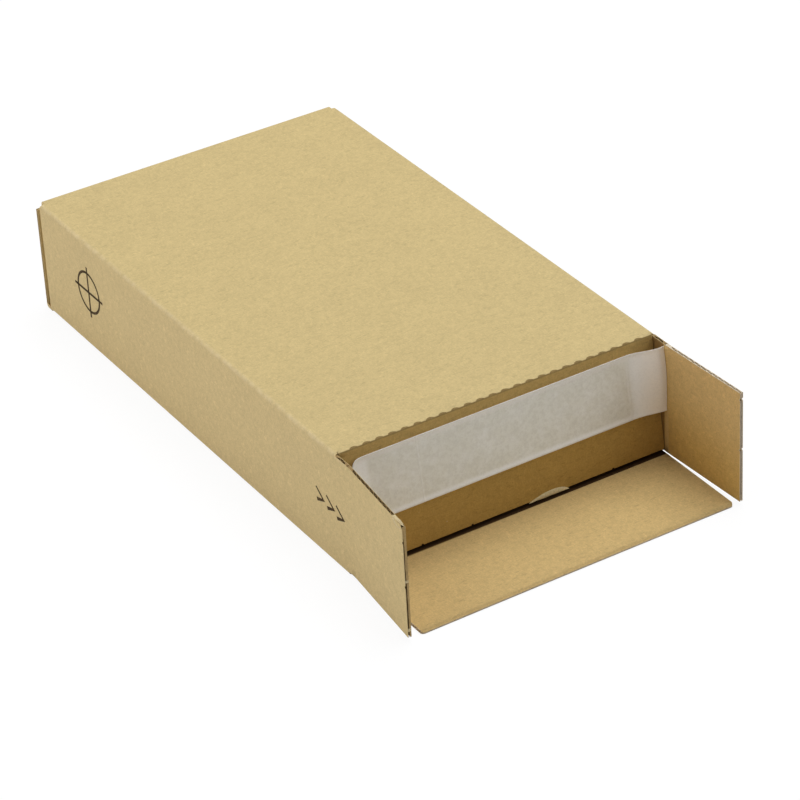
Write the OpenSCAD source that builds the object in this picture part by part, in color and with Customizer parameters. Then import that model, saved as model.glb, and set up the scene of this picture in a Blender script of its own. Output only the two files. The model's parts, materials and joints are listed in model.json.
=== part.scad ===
// Corrugated mailer box, folded and glued from one die-cut blank, with its front end open.
// X runs across the box, Y from the open front to the closed back, Z up.
// The origin is the middle of the base.

/* [Box] */
// Inside width, between the side walls
inside_w = 150; // [120:1:300]
// Inside length, from the shut front flap to the back wall
inside_l = 249; // [150:1:400]
// Inside height, between the top and bottom panels
inside_h = 51.2; // [40:0.2:100]

/* [Board] */
// Thickness of the corrugated board
board_t = 1.5; // [1.2:0.1:2.5]
// Thickness of one sheet of paper in the board
paper_t = 0.25; // [0.15:0.05:0.35]
// Distance from one flute to the next
flute_pitch = 3.5; // [3:0.1:6]
// Inside radius of a folded corner
fold_in_r = 0.3; // [0.2:0.1:1]

/* [Front flaps] */
// Length of each side flap, from its fold
side_flap_len = 47.2; // [30:0.2:58]
// Length of the bottom flap, from its fold
bottom_flap_len = 44.6; // [30:0.2:60]
// Angle by which the closing flap leans out of the upright
closing_lean = 9; // [0:0.5:12]
// Clearance between the closing flap's lower edge and the base
closing_clearance = 1.4; // [0.3:0.1:4]
// Angle by which the left flap stands out
left_swing = 5.8; // [0:0.1:12]
// Angle by which the right flap stands out
right_swing = 2.5; // [0:0.1:12]
// Height left between the top of the box and a side flap's top edge
side_flap_drop = 0.8; // [0.4:0.1:4]
// Clearance between neighbouring flaps, and between the side flaps and the base
flap_gap = 0.3; // [0.2:0.05:0.6]
// Clearance in a fold between the panel and its flap
fold_gap = 0.35; // [0.32:0.01:0.5]
// Depth of the slots behind the bottom fold
slot_depth = 6; // [2:0.1:9]
// Width of a nick that the die left in an edge
nick_w = 1.2; // [0.6:0.1:2]
// Corner radius at the bottom flap's free end
bottom_corner_r = 1.6; // [0.5:0.1:5]
// Length of edge lost at the left flap's torn upper corner
torn_corner = 1.5; // [0.5:0.1:4]

/* [Tear line] */
// Distance from one cut of the tear line to the next
cut_pitch = 5.9; // [4:0.1:12]
// Radius of each half-moon cut
cut_r = 2.2; // [1.4:0.1:2.6]
// Distance from the closing fold to the back of each cut
cut_reach = 1.2; // [1:0.1:2]
// Plain length of the fold at each end of the tear line
cut_margin = 6.5; // [4:0.5:20]

/* [Adhesive] */
// Distance from each end of the closing flap to the adhesive strip
tape_inset = 11.2; // [5:0.1:30]
// Width of the adhesive strip
tape_w = 25.4; // [10:0.2:29]
// Thickness of the adhesive strip
tape_t = 0.15; // [0.1:0.05:0.3]
// Distance from the closing flap's left end to the release liner
liner_inset_left = 3.7; // [0.5:0.1:5]
// Distance from the closing flap's right end to the release liner
liner_inset_right = 1.7; // [0.5:0.1:5]
// Width of the release liner
liner_w = 29.2; // [26:0.2:36]
// Thickness of the release liner
liner_t = 0.12; // [0.1:0.01:0.2]
// Distance from the closing fold to the liner's upper edge
liner_drop = 3.7; // [2:0.1:8]
// Corner radius at the liner's flat end
liner_corner_r = 4; // [1:0.5:8]
// Length of the liner's lifted end
liner_lift_len = 12; // [6:1:20]
// Height of the liner's lifted end
liner_lift = 1.4; // [0.4:0.1:1.6]

/* [Back end] */
// Height left between the top of the box and the outer back flap's edge
back_outer_drop = 4.2; // [0.2:0.1:20]
// Height of the middle back flap's edge above the floor
back_middle_lift = 8.2; // [4:0.1:25]
// Length of each inner back flap, in from its side wall
back_inner_len = 48; // [30:0.5:58]
// Distance from a side wall to the edge of the outer back flap
back_outer_inset = 0.3; // [0:0.1:3]
// Distance from a side wall to the edge of the middle back flap
back_middle_inset = 2.5; // [2:0.1:6]

/* [Glued seam] */
// Height of the glue tab inside the right wall
tab_h = 32; // [15:1:37]
// Distance from each end of the box to the glue tab
tab_inset = 9; // [6:1:30]
// Length by which each end of the tab is cut slanting
tab_slant = 6; // [2:1:15]
// Height of the right wall's raw lower edge above the floor
seam_edge_z = 0.2; // [0.1:0.1:1]

/* [Hidden] */
$fn = 48;

kraft = [0.80, 0.70, 0.49];
kraft_inside = [0.66, 0.55, 0.35];
adhesive_colour = [0.70, 0.68, 0.62];
liner_colour = [0.86, 0.85, 0.82];

// Outside sizes of the closed box
box_w = inside_w + 2 * board_t;
box_h = inside_h + 2 * board_t;
box_l = inside_l + 4 * board_t;
front_y = -box_l / 2;
back_y = box_l / 2;
half_t = board_t / 2;
fold_out_r = fold_in_r + board_t;

// Flutes: the wave between the two liners, and where a cell begins on it
cell_half_h = half_t - paper_t;
wave_amp = cell_half_h - paper_t / 2;
root_solid = 2;
bond_angle = 30;
cell_steps = 8;
end_phase = 0.25;

// The closing flap hangs from the top panel and stops above the base
closing_axis_y = front_y + half_t;
closing_axis_z = box_h - half_t;
closing_low_z = board_t + closing_clearance;
closing_len = (closing_axis_z - closing_low_z - half_t * sin(closing_lean)) / cos(closing_lean);
closing_reach = closing_len * sin(closing_lean) + half_t * cos(closing_lean) - half_t;
flap_w = inside_w - 2 * flap_gap;

// The side flaps shut in front of the closing flap, and the bottom flap in front of them
side_axis_x = box_w / 2 - half_t;
side_axis_y = front_y - closing_reach - flap_gap - half_t;
side_flap_z = board_t + flap_gap;
side_flap_top = box_h - side_flap_drop;
side_flap_h = side_flap_top - side_flap_z;
bottom_axis_y = side_axis_y - board_t - flap_gap;
slot_end_y = bottom_axis_y + slot_depth;
fold_r = half_t + fold_gap;

// Flutes that show in the upper edges of the side walls, in front of the closing fold
wall_reach = closing_axis_y - side_axis_y;
wall_flutes = floor((wall_reach - root_solid) / flute_pitch);
flute_show = 2;

// Lengths along the closing flap
tape_len = flap_w - 2 * tape_inset;
liner_len = flap_w - liner_inset_left - liner_inset_right;

// Lengths of the back flaps, from the panels that they fold from
back_outer_len = box_h - back_outer_drop;
back_middle_len = box_h - back_middle_lift;

// Cuts of the tear line
cut_span = flap_w - 2 * cut_margin;
cut_count = floor(cut_span / cut_pitch) + 1;

// Nicks, as heights on the side flaps and places across the closing flap
left_nick_z = [25.3, 45.8];
right_nick_z = [26.5, 50.2];
closing_nick_x = [-43.9, -20.1, 48.8];

// The tube ends where the back folds begin
tube_end_y = back_y - 2 * board_t - fold_out_r - fold_in_r;

// One flute cell as an outline: side is 1 above the wave and -1 below it
module flute_cell(at, pitch, side) {
    first = bond_angle;
    step = (360 - 2 * bond_angle) / cell_steps;
    wave = [for (i = [0:cell_steps])
        [at + pitch * (first + i * step) / 360, side * (wave_amp * cos(first + i * step) + paper_t / 2)]];
    polygon(concat(wave, [
        [at + pitch * (360 - first) / 360, side * cell_half_h],
        [at + pitch * first / 360, side * cell_half_h]]));
}

// All the cells of a board that runs from its fold to a raw edge at len
module flute_cells(len) {
    n = floor((len - root_solid) / flute_pitch - end_phase);
    pitch = (len - root_solid) / (n + end_phase);
    for (k = [0:n]) {
        flute_cell(root_solid + k * pitch, pitch, 1);
        if (k < n) flute_cell(root_solid + (k + 0.5) * pitch, pitch, -1);
    }
}

// Section of a flap: a round root on the fold's axis, then fluted board out to its raw edge
module flap_section(len) {
    difference() {
        union() {
            circle(d = board_t);
            translate([0, -half_t]) square([len, board_t]);
        }
        flute_cells(len);
    }
}

// Section of a sheet folded at a right angle, with its outer corner on the origin
module folded_section(len_a, len_b) {
    translate([-len_a, -board_t]) square([len_a - fold_out_r, board_t]);
    translate([-board_t, -len_b]) square([board_t, len_b - fold_out_r]);
    fold_arc();
}

// Quarter ring that joins two panels, with the outer corner on the origin
module fold_arc() {
    translate([-fold_out_r, -fold_out_r]) intersection() {
        difference() {
            circle(r = fold_out_r);
            circle(r = fold_in_r);
        }
        square(fold_out_r);
    }
}

// Extrudes a section drawn in Y and Z over the width w, about the middle
module across(w) {
    translate([-w / 2, 0, 0]) rotate([90, 0, 90]) linear_extrude(w) children();
}

// Extrudes a section drawn in X and Z from one place to another along the box
module along(from, to) {
    translate([0, to, 0]) rotate([90, 0, 0]) linear_extrude(to - from) children();
}

// Section of the glued tube: its right wall ends in a raw edge, outside the tab
module tube_section() {
    translate([-box_w / 2 + fold_out_r, box_h - board_t]) square([box_w - 2 * fold_out_r, board_t]);
    translate([-box_w / 2, fold_out_r]) square([board_t, box_h - 2 * fold_out_r]);
    translate([box_w / 2 - board_t, seam_edge_z]) square([board_t, box_h - fold_out_r - seam_edge_z]);
    translate([box_w / 2, box_h]) fold_arc();
    translate([-box_w / 2, box_h]) mirror([1, 0]) fold_arc();
    base_section();
}

// The lower part of the same section: the base and its left fold
module base_section() {
    translate([-box_w / 2 + fold_out_r, 0]) square([box_w - board_t - 2 * fold_out_r, board_t]);
    translate([-box_w / 2, 0]) mirror([1, 0]) mirror([0, 1]) fold_arc();
}

// Glue tab: the base folds up inside the right wall, and its ends are cut slanting
module glue_tab() {
    tab_x = box_w / 2 - board_t;
    from = front_y + tab_inset;
    to = back_y - tab_inset;
    along(from, to) translate([tab_x, 0]) mirror([0, 1]) fold_arc();
    translate([tab_x - board_t, 0, 0]) rotate([90, 0, 90]) linear_extrude(board_t) polygon([
        [from, fold_out_r], [to, fold_out_r], [to - tab_slant, tab_h], [from + tab_slant, tab_h]]);
}

// Panels that reach forward of the top fold, out to the folds of the other three flaps
module front_panels() {
    for (side = [-1, 1])
        translate([side * side_axis_x - half_t, side_axis_y, side_flap_z])
            cube([board_t, wall_reach, side_flap_h]);
    along(slot_end_y, closing_axis_y) {
        base_section();
        translate([-box_w / 2, fold_out_r]) square([board_t, fold_out_r]);
        translate([box_w / 2 - board_t, seam_edge_z]) square([board_t, 2 * fold_out_r]);
    }
    translate([-flap_w / 2, bottom_axis_y, 0]) cube([flap_w, closing_axis_y - bottom_axis_y, board_t]);
}

// Room for the round roots of the four flaps
module fold_rooms() {
    over = 1;
    translate([0, closing_axis_y, closing_axis_z]) rotate([0, 90, 0])
        cylinder(r = fold_r, h = flap_w + 2 * flap_gap, center = true);
    translate([0, bottom_axis_y, half_t]) rotate([0, 90, 0])
        cylinder(r = fold_r, h = flap_w + 2 * over, center = true);
    for (side = [-1, 1])
        translate([side * side_axis_x, side_axis_y, side_flap_z - over])
            cylinder(r = fold_r, h = side_flap_h + 2 * over);
}

// The first flutes of the side walls, open at their upper edges
module wall_flute_ends() {
    for (side = [-1, 1])
        translate([side * side_axis_x, side_axis_y, side_flap_top - flute_show]) rotate([0, 0, 90])
            linear_extrude(2 * flute_show) for (k = [0:1:wall_flutes - 1]) {
                flute_cell(root_solid + k * flute_pitch, flute_pitch, 1);
                if (k < wall_flutes - 1) flute_cell(root_solid + (k + 0.5) * flute_pitch, flute_pitch, -1);
            }
}

// Half-moon cuts of the tear line, in the front edge of the top panel
module tear_line() {
    first = -(cut_count - 1) * cut_pitch / 2;
    for (k = [0:cut_count - 1])
        translate([first + k * cut_pitch, closing_axis_y + cut_reach - cut_r, box_h - 2 * board_t])
            cylinder(r = cut_r, h = 3 * board_t);
}

// The shut back end: inner flaps from the sides, then the middle one from the top, then the outer one
module back_end() {
    middle_y = back_y - board_t;
    inner_y = back_y - 2 * board_t;
    inner_z = board_t + flap_gap;
    for (side = [0, 1])
        mirror([side, 0, 0]) translate([-box_w / 2, inner_y, inner_z])
            linear_extrude(box_h - 2 * inner_z) rotate(90)
                folded_section(inner_y - tube_end_y, back_inner_len);
    across(box_w - 2 * back_middle_inset) translate([middle_y, box_h])
        folded_section(middle_y - tube_end_y, back_middle_len);
    across(box_w - 2 * back_outer_inset) difference() {
        translate([back_y, 0]) mirror([0, 1]) folded_section(back_y - tube_end_y, back_outer_len);
        translate([back_y - half_t, 0]) rotate(90) flute_cells(back_outer_len);
    }
}

// The tube with its glued seam and its closed back, one folded piece
module carton_body() {
    color(kraft) difference() {
        union() {
            along(closing_axis_y, tube_end_y) tube_section();
            glue_tab();
            front_panels();
            back_end();
        }
        fold_rooms();
        wall_flute_ends();
        tear_line();
    }
}

// A nick across an edge: a round bite through the board
module nick(depth) {
    cylinder(d = nick_w, h = depth, center = true);
}

// Puts a part drawn from the closing fold downwards in its place
module on_closing_fold() {
    translate([0, closing_axis_y, closing_axis_z]) rotate([-closing_lean, 0, 0]) children();
}

module closing_flap() {
    color(kraft_inside) on_closing_fold() difference() {
        across(flap_w) rotate(-90) flap_section(closing_len);
        for (x = closing_nick_x) translate([x, 0, -closing_len]) rotate([90, 0, 0]) nick(2 * board_t);
    }
}

// A side flap, drawn along +X from its fold
module side_flap(nicks) {
    difference() {
        linear_extrude(side_flap_h) flap_section(side_flap_len);
        for (z = nicks) translate([side_flap_len, 0, z - side_flap_z]) rotate([90, 0, 0]) nick(2 * board_t);
    }
}

// The left flap has lost its upper corner
module left_flap() {
    cut = torn_corner * sqrt(2);
    color(kraft) translate([-side_axis_x, side_axis_y, side_flap_z])
        rotate([0, 0, -90 - left_swing]) difference() {
            side_flap(left_nick_z);
            translate([side_flap_len, 0, side_flap_h]) rotate([0, 45, 0])
                cube([cut, 2 * board_t, cut], center = true);
        }
}

module right_flap() {
    color(kraft_inside) translate([side_axis_x, side_axis_y, side_flap_z])
        rotate([0, 0, -90 + right_swing]) side_flap(right_nick_z);
}

// Outline of the bottom flap from above, with its free corners rounded
module bottom_outline() {
    r = bottom_corner_r;
    translate([-flap_w / 2, bottom_axis_y - bottom_flap_len + r]) square([flap_w, bottom_flap_len]);
    translate([r - flap_w / 2, bottom_axis_y - bottom_flap_len]) square([flap_w - 2 * r, bottom_flap_len]);
    for (x = [r - flap_w / 2, flap_w / 2 - r])
        translate([x, bottom_axis_y - bottom_flap_len + r]) circle(r = r);
}

module bottom_flap() {
    color(kraft_inside) intersection() {
        across(flap_w) translate([bottom_axis_y, half_t]) rotate(180) flap_section(bottom_flap_len);
        linear_extrude(board_t) bottom_outline();
    }
}

module adhesive_strip() {
    drop = liner_drop + (liner_w - tape_w) / 2;
    color(adhesive_colour) on_closing_fold()
        translate([-tape_len / 2, -half_t - tape_t, -drop - tape_w]) cube([tape_len, tape_t, tape_w]);
}

// The liner is flat on the adhesive, and bends away from the flap at its right end
module liner_section() {
    bend_r = liner_lift_len * liner_lift_len / (2 * liner_lift);
    flat = liner_len - liner_lift_len;
    square([flat, liner_t]);
    translate([flat, -bend_r]) intersection() {
        difference() {
            circle(r = bend_r + liner_t, $fn = 360);
            circle(r = bend_r, $fn = 360);
        }
        square([liner_lift_len, bend_r + 2 * liner_t]);
    }
}

module liner_outline() {
    r = liner_corner_r;
    translate([r, 0]) square([liner_len - r, liner_w]);
    translate([0, r]) square([liner_len, liner_w - 2 * r]);
    for (z = [r, liner_w - r]) translate([r, z]) circle(r = r);
}

module release_liner() {
    room = 2 * (liner_lift + liner_t);
    from = liner_inset_left - flap_w / 2;
    color(liner_colour) on_closing_fold()
        translate([from, -half_t - tape_t - liner_t, -liner_drop - liner_w]) intersection() {
            linear_extrude(liner_w) liner_section();
            translate([0, room, 0]) rotate([90, 0, 0]) linear_extrude(2 * room) liner_outline();
        }
}

carton_body();
closing_flap();
left_flap();
right_flap();
bottom_flap();
adhesive_strip();
release_liner();
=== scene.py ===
"""Looks of the corrugated mailer box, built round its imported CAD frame."""
import json
import math

import bmesh
import bpy
from mathutils import Matrix, Vector, noise


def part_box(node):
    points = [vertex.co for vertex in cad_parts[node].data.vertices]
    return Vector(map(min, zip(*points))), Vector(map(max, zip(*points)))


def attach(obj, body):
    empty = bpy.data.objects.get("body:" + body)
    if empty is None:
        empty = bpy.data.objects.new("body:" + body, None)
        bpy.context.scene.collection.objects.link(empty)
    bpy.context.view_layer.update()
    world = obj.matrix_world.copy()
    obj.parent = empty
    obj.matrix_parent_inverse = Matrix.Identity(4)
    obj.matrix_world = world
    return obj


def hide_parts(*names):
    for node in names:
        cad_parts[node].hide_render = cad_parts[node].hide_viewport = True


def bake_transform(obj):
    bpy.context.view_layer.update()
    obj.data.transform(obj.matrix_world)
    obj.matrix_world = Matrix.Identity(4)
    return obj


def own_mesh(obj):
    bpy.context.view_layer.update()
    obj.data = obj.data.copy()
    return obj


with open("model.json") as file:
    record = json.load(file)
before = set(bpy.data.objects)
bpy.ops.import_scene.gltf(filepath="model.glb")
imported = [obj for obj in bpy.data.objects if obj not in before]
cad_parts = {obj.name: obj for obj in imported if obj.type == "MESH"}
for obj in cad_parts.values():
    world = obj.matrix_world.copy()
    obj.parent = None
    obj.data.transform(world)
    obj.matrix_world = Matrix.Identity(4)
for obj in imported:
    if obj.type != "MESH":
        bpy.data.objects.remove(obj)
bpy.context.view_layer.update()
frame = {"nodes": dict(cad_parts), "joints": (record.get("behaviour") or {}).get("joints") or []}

MM = 0.001
JOINTS = {j["name"]: j for j in frame["joints"]}

# Sizes read from the frame
BODY_LO, BODY_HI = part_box("carton_body")
BASE_LO, BASE_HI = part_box("bottom_flap")
CLOSING_LO, CLOSING_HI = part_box("closing_flap")
BOARD_T = BASE_HI.z - BASE_LO.z
HALF_T = BOARD_T / 2
BOX_TOP = BODY_HI.z
WALL_X = BODY_HI.x
BACK_Y = BODY_HI.y
CLOSING_AXIS = Vector(JOINTS["closing_fold"]["pos_m"])
LEFT_AXIS = Vector(JOINTS["left_fold"]["pos_m"])
RIGHT_AXIS = Vector(JOINTS["right_fold"]["pos_m"])
BOTTOM_AXIS = Vector(JOINTS["bottom_fold"]["pos_m"])
CLOSING_REST = math.radians(-JOINTS["closing_fold"]["range_deg"][0])
LEFT_REST = math.radians(90 + JOINTS["left_fold"]["range_deg"][0])
RIGHT_REST = math.radians(90 + JOINTS["right_fold"]["range_deg"][0])

# Thin sheets that stand on the boards
SKIN_T = 0.05 * MM
SKIN_PROUD = 0.03 * MM
FLUTE_PITCH = 3.5 * MM

# Colours, as sRGB values from 0 to 255
KRAFT = (209, 188, 135)
# Painted shade: the inner faces' kraft is made warmer, for the warm shade inside the box
KRAFT_INSIDE_SHADED = (206, 173, 112)
# Painted shade: warmer, darker kraft low on the right flap's inner side, where the corner lies in shade
KRAFT_LOW_SHADED = (202, 164, 92)
KRAFT_BOTTOM = (205, 177, 121)
# Painted shade: the closing flap's outer face is the same paper as the top, drawn browner where it hangs in
# shade
KRAFT_STRIP_SHADED = (196, 164, 100)
KRAFT_SHADED = (186, 150, 81)
SPECK = (128, 103, 62)
PALE_FIBRE = (232, 216, 176)
TORN = (226, 207, 160)
RAW_LIP = (208, 184, 134)
RAW_CORE = (168, 140, 94)
# Painted shade: the flute cells are drawn near black, for the shade inside them
CELL_PAINTED_SHADE = (92, 69, 38)
# Crushed cut edges, whose flutes are pressed shut: pale, and painted paler still as painted light, since these
# free ends get little light
CRUSHED_LIP = (240, 228, 206)
CRUSHED_CORE = (236, 222, 196)
CRUSHED_CELL = (214, 194, 158)
# Painted shadow: the near-black band on the base under the closing flap's lower edge
BASE_PAINTED_SHADOW = (62, 43, 21)
EDGE_BURR = (186, 158, 108)
WALL_SHADED = (150, 117, 66)
# Painted shade: deep brown on upward faces of the closing fold and in its half-moon cuts, where light would
# fall
HINGE_PAINTED_SHADE = (136, 114, 70)
LINER = (252, 251, 245)
LINER_TACKED = (234, 232, 218)
# Painted shade: the warm, darker tint of the liner's curled free end
LINER_CURL_SHADED = (241, 230, 213)
LINER_DIRT = (180, 173, 160)
ADHESIVE = (214, 208, 192)
INK = (66, 50, 24)
INK_WORN = (118, 96, 58)


def linear(rgb):
    """An sRGB colour as the linear RGBA value that a shader socket takes."""
    parts = [c / 255 for c in rgb]
    return tuple(c / 12.92 if c <= 0.04045 else ((c + 0.055) / 1.055) ** 2.4 for c in parts) + (1.0,)


def darker(rgb, share):
    return tuple(c * share for c in rgb)


class Shader:
    """A material's node tree, with a short call for each kind of node."""

    def __init__(self, name):
        self.material = bpy.data.materials.new(name)
        self.material.use_nodes = True
        self.tree = self.material.node_tree
        self.bsdf = self.tree.nodes["Principled BSDF"]
        coord = self.node("ShaderNodeTexCoord")
        self.normal = coord.outputs["Normal"]
        self.place = coord.outputs["Object"]
        self.mm = self.vector("SCALE", self.place, scale=1 / MM)

    def node(self, kind, **settings):
        made = self.tree.nodes.new(kind)
        for key, value in settings.items():
            setattr(made, key, value)
        return made

    def feed(self, socket, value):
        if isinstance(value, bpy.types.NodeSocket):
            self.tree.links.new(value, socket)
        else:
            socket.default_value = value

    def vector(self, operation, a, b=None, scale=None):
        made = self.node("ShaderNodeVectorMath", operation=operation)
        self.feed(made.inputs[0], a)
        if b is not None:
            self.feed(made.inputs[1], b)
        if scale is not None:
            made.inputs["Scale"].default_value = scale
        return made.outputs["Value" if operation in ("DOT_PRODUCT", "LENGTH") else "Vector"]

    def math(self, operation, *values, clamp=False):
        made = self.node("ShaderNodeMath", operation=operation, use_clamp=clamp)
        for socket, value in zip(made.inputs, values):
            self.feed(socket, value)
        return made.outputs[0]

    def times(self, *values):
        total = values[0]
        for value in values[1:]:
            total = self.math("MULTIPLY", total, value)
        return total

    def most(self, *values):
        total = values[0]
        for value in values[1:]:
            total = self.math("MAXIMUM", total, value)
        return total

    def split(self, vector):
        made = self.node("ShaderNodeSeparateXYZ")
        self.feed(made.inputs[0], vector)
        return made.outputs[0], made.outputs[1], made.outputs[2]

    def step(self, value, low, high):
        """Goes from 0 at low to 1 at high, smoothly."""
        made = self.node("ShaderNodeMapRange", interpolation_type="SMOOTHSTEP")
        self.feed(made.inputs["Value"], value)
        made.inputs["From Min"].default_value = min(low, high)
        made.inputs["From Max"].default_value = max(low, high)
        made.inputs["To Min"].default_value = 0.0 if low < high else 1.0
        made.inputs["To Max"].default_value = 1.0 if low < high else 0.0
        return made.outputs["Result"]

    def noise(self, size, detail=3.0, rough=0.55, stretch=(1, 1, 1), distort=0.0):
        """Noise whose patches are about size mm wide, drawn out by stretch."""
        scaled = self.vector("MULTIPLY", self.mm, tuple(1 / (size * s) for s in stretch))
        made = self.node("ShaderNodeTexNoise")
        self.feed(made.inputs["Vector"], scaled)
        made.inputs["Scale"].default_value = 1.0
        made.inputs["Detail"].default_value = detail
        made.inputs["Roughness"].default_value = rough
        made.inputs["Distortion"].default_value = distort
        return made.outputs["Fac"]

    def specks(self, spacing, radius, share):
        """Round specks about spacing mm apart, in a share of the places."""
        made = self.node("ShaderNodeTexVoronoi")
        self.feed(made.inputs["Vector"], self.vector("SCALE", self.mm, scale=1 / spacing))
        made.inputs["Scale"].default_value = 1.0
        near = self.step(made.outputs["Distance"], radius / spacing, 0.35 * radius / spacing)
        pick = self.node("ShaderNodeSeparateColor")
        self.feed(pick.inputs[0], made.outputs["Color"])
        return self.times(near, self.step(pick.outputs[0], 1 - share, 1.02 - share))

    def mix(self, factor, a, b):
        made = self.node("ShaderNodeMix", data_type="RGBA")
        self.feed(made.inputs["Factor"], factor)
        self.feed(made.inputs[6], a)
        self.feed(made.inputs[7], b)
        return made.outputs[2]

    def bump(self, height_mm):
        """Bump from a height in mm."""
        made = self.node("ShaderNodeBump")
        made.inputs["Strength"].default_value = 1.0
        made.inputs["Distance"].default_value = MM
        self.feed(made.inputs["Height"], height_mm)
        self.feed(self.bsdf.inputs["Normal"], made.outputs["Normal"])

    def finish(self, colour, roughness, specular):
        self.feed(self.bsdf.inputs["Base Color"], colour)
        self.feed(self.bsdf.inputs["Roughness"], roughness)
        self.bsdf.inputs["Specular IOR Level"].default_value = specular
        return self.material


# Kraft paper. Each noise has the values between which it works, its depth of shade, and its height in mm.
MOTTLE = (0.35, 0.7, -0.065, 0.05)
GRAIN = (0.35, 0.65, -0.085, 0.02)
LONG_FIBRES = (0.55, 0.72, -0.11, 0.03)
CROSS_FIBRES = (0.56, 0.72, 0.085, 0.03)
CLOUD_DEPTH = 0.03
EVEN_OUT = (0.015, 0.045)
WASHBOARD = 0.006
# Spacing and radius in mm, share of the places, strength and colour of the specks
SPECKS = ((8, 0.4, 0.22, 0.5, SPECK), (6.1, 0.35, 0.2, 0.35, PALE_FIBRE))


def kraft_paper(s, tone, flute_axis, grain_level):
    """Colour and height of kraft linerboard: mottled, with fibres and a faint washboard."""
    clouds = s.noise(17, detail=4)
    mottle = s.noise(2.4, detail=4, rough=0.62)
    long_fibres = s.noise(0.55, detail=2, stretch=(5, 1, 1), distort=0.6)
    cross_fibres = s.noise(0.5, detail=2, stretch=(1, 5, 4), distort=0.6)
    grain = s.noise(0.7, detail=2, rough=0.7)
    noises = ((mottle, MOTTLE), (grain, GRAIN), (long_fibres, LONG_FIBRES), (cross_fibres, CROSS_FIBRES))
    shade = s.math("ADD", 1 - CLOUD_DEPTH, s.times(s.step(clouds, 0.3, 0.7), CLOUD_DEPTH))
    for value, (low, high, depth, _) in noises:
        shade = s.math("ADD", shade, s.times(s.step(value, low, high), depth * grain_level))
    shade = s.math("ADD", shade, EVEN_OUT[0] + EVEN_OUT[1] * grain_level)
    scaled = s.node("ShaderNodeVectorMath", operation="SCALE")
    s.feed(scaled.inputs[0], tone)
    s.feed(scaled.inputs["Scale"], shade)
    colour = scaled.outputs["Vector"]
    for spacing, radius, share, strength, speck in SPECKS:
        colour = s.mix(s.times(s.specks(spacing, radius, share), strength), colour, linear(speck))
    across = s.split(s.mm)[flute_axis]
    wave = s.math("SINE", s.times(across, 2 * math.pi * MM / FLUTE_PITCH))
    height = s.times(wave, WASHBOARD)
    for value, (_, _, _, tall) in noises:
        height = s.math("ADD", height, s.times(value, tall))
    return colour, height, clouds


def raw_edge(s, depth, lip, core):
    """Colour of cut board: pale lips of paper round a darker, fuzzy core. depth is 0 at the faces."""
    fuzz = s.noise(0.6, detail=3, rough=0.7)
    lip = s.mix(s.step(fuzz, 0.35, 0.65), linear(darker(lip, 0.9)), linear(lip))
    core = s.mix(s.step(fuzz, 0.35, 0.65), linear(darker(core, 0.8)), linear(core))
    return s.mix(depth, lip, core)


OUTER_GRAIN = 1.2
INNER_GRAIN = 1.45
BOARD_ROUGH = 0.8
BOARD_SHINE = 0.15
OPEN_EDGES = (RAW_LIP, RAW_CORE, CELL_PAINTED_SHADE)
CRUSHED_PAINTED_LIGHT_EDGES = (CRUSHED_LIP, CRUSHED_CORE, CRUSHED_CELL)

# In mm: where a fold's round root ends, half of the board's core, and how far below the faces the core begins
ROOT_END = (1.6, 1.9)
CORE_HALF = (0.62, 0.52)
FACE_DEPTH = (0.06, 0.14)


def board(name, flute_axis, tone, raw=None, light=None, edges=OPEN_EDGES, grain=INNER_GRAIN):
    """Board material. tone, raw and light take the shader: its colour, cut edges and paler places."""
    s = Shader(name)
    colour, height, clouds = kraft_paper(s, tone(s), flute_axis, grain)
    if light:
        pale_stretch = s.times(light(s), s.step(s.noise(3, detail=3), 0.25, 0.7))
        colour = s.mix(s.times(pale_stretch, 0.3), colour, linear(PALE_FIBRE))
    if raw:
        edge, depth, cell = raw(s)
        colour = s.mix(edge, colour, raw_edge(s, depth, *edges[:2]))
        # Painted shade in the flute cells
        colour = s.mix(cell, colour, linear(edges[2]))
    s.bump(height)
    return s.finish(colour, s.math("ADD", BOARD_ROUGH, s.times(clouds, 0.12)), BOARD_SHINE)


def by_side(s, normal, front, back):
    """One colour for the side that looks along normal, another for the other side."""
    facing = s.vector("DOT_PRODUCT", s.normal, tuple(normal))
    return s.mix(s.step(facing, -0.1, 0.1), back, front)


def two_tones(normal, front, back):
    """Tone of a flap whose two sides differ. front is the side that looks along normal."""
    def tone(s):
        return by_side(s, normal, linear(front), linear(back))
    return tone


def plain_tone(colour):
    """The same colour on every side."""
    def tone(s):
        return s.mix(0.0, linear(colour), linear(colour))
    return tone


# Where tones change, in mm: heights on the right flap, drops on the closing flap and in its cuts, and the
# painted shadow band on the base, whose edges are distances behind the bottom fold and whose front edge slants
# across
LOW_TONE = (BOX_TOP / MM * 0.75, 4)
CLOSING_TONE = (4, 30)
CUT_TONE = (0.6, 0.4)
BAND_FRONT = (0.2, 1.45)
BAND_BACK = (7.5, 4.5)
BAND_SLANT = (0.7, 0.35)


def right_tone(normal):
    """The right flap's tone. Its inner side is painted shade: a warmer kraft, warmer and darker still low
    down.
    """
    def tone(s):
        z = s.split(s.mm)[2]
        # Painted shade: the inner side turns warmer and darker low down
        inner = s.mix(s.step(z, *LOW_TONE), linear(KRAFT_INSIDE_SHADED), linear(KRAFT_LOW_SHADED))
        return by_side(s, normal, inner, linear(KRAFT))
    return tone


def closing_tone(s):
    """The closing flap, in painted shade: a warmer kraft by its fold, warmer and darker lower down, and deep
    brown on upward faces in the cuts.
    """
    z = s.split(s.mm)[2]
    axis_z = CLOSING_AXIS.z / MM
    shaded, in_cut = (s.step(z, *(axis_z - drop for drop in drops)) for drops in (CLOSING_TONE, CUT_TONE))
    # Painted shade: the flap's face goes from the shaded strip tone to the darker shaded tone lower down
    front = s.mix(shaded, linear(KRAFT_STRIP_SHADED), linear(KRAFT_SHADED))
    # Painted shade: upward faces near the fold, in the cuts, get deep brown
    cut = s.times(s.step(s.split(s.normal)[2], 0.02, 0.12), in_cut)
    return s.mix(cut, front, linear(HINGE_PAINTED_SHADE))


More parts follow.
